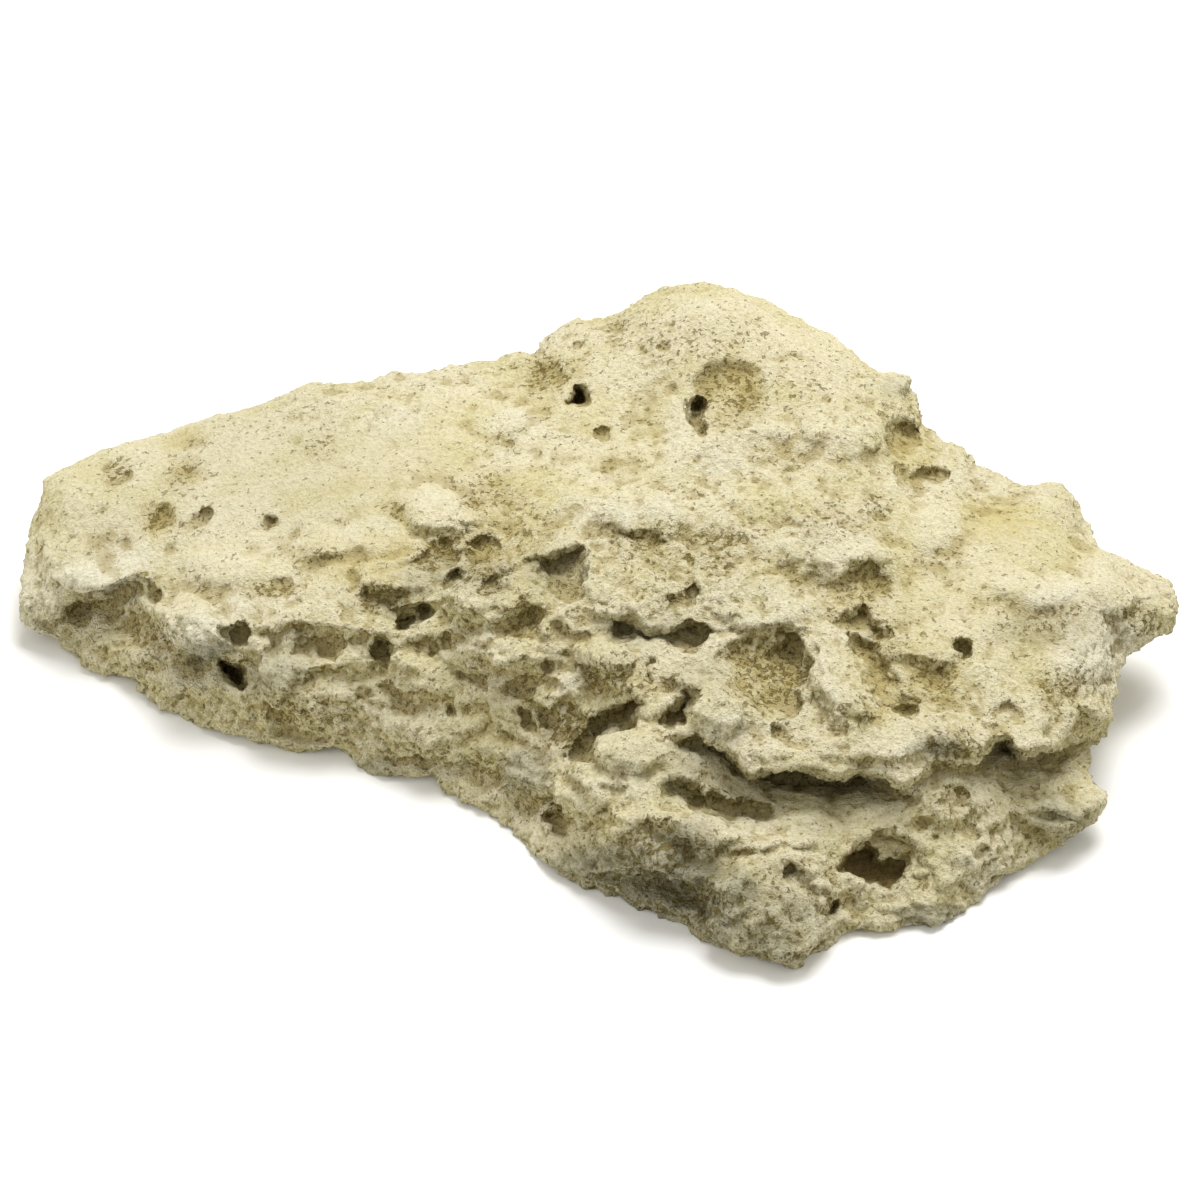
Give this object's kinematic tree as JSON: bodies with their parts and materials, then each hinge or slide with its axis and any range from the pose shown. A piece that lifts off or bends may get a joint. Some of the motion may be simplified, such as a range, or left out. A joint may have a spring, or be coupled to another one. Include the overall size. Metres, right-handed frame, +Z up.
{
  "type": "aquarium shelf rock",
  "caption": "Natural slab of pale porous reef limestone, with a broad sloping top shelf over a lower ledge, pitted and cavernous, that lies flat as a shelf or cave roof in an aquarium.",
  "frame": {"origin": "on the table under the middle of the stone's bounding box, in the plane of the sole it rests on", "axes": "+X to the right along the stone's length, from its thin end to its thick end; +Y away from the viewer, from the low front ledge to the high back; +Z up"},
  "size_m": [0.388, 0.27, 0.0795],
  "materials": {
    "reef_limestone": "matt, chalky and porous"
  },
  "bodies": {
    "root": {"shelf_rock": "reef_limestone"}
  },
  "joints": []
}
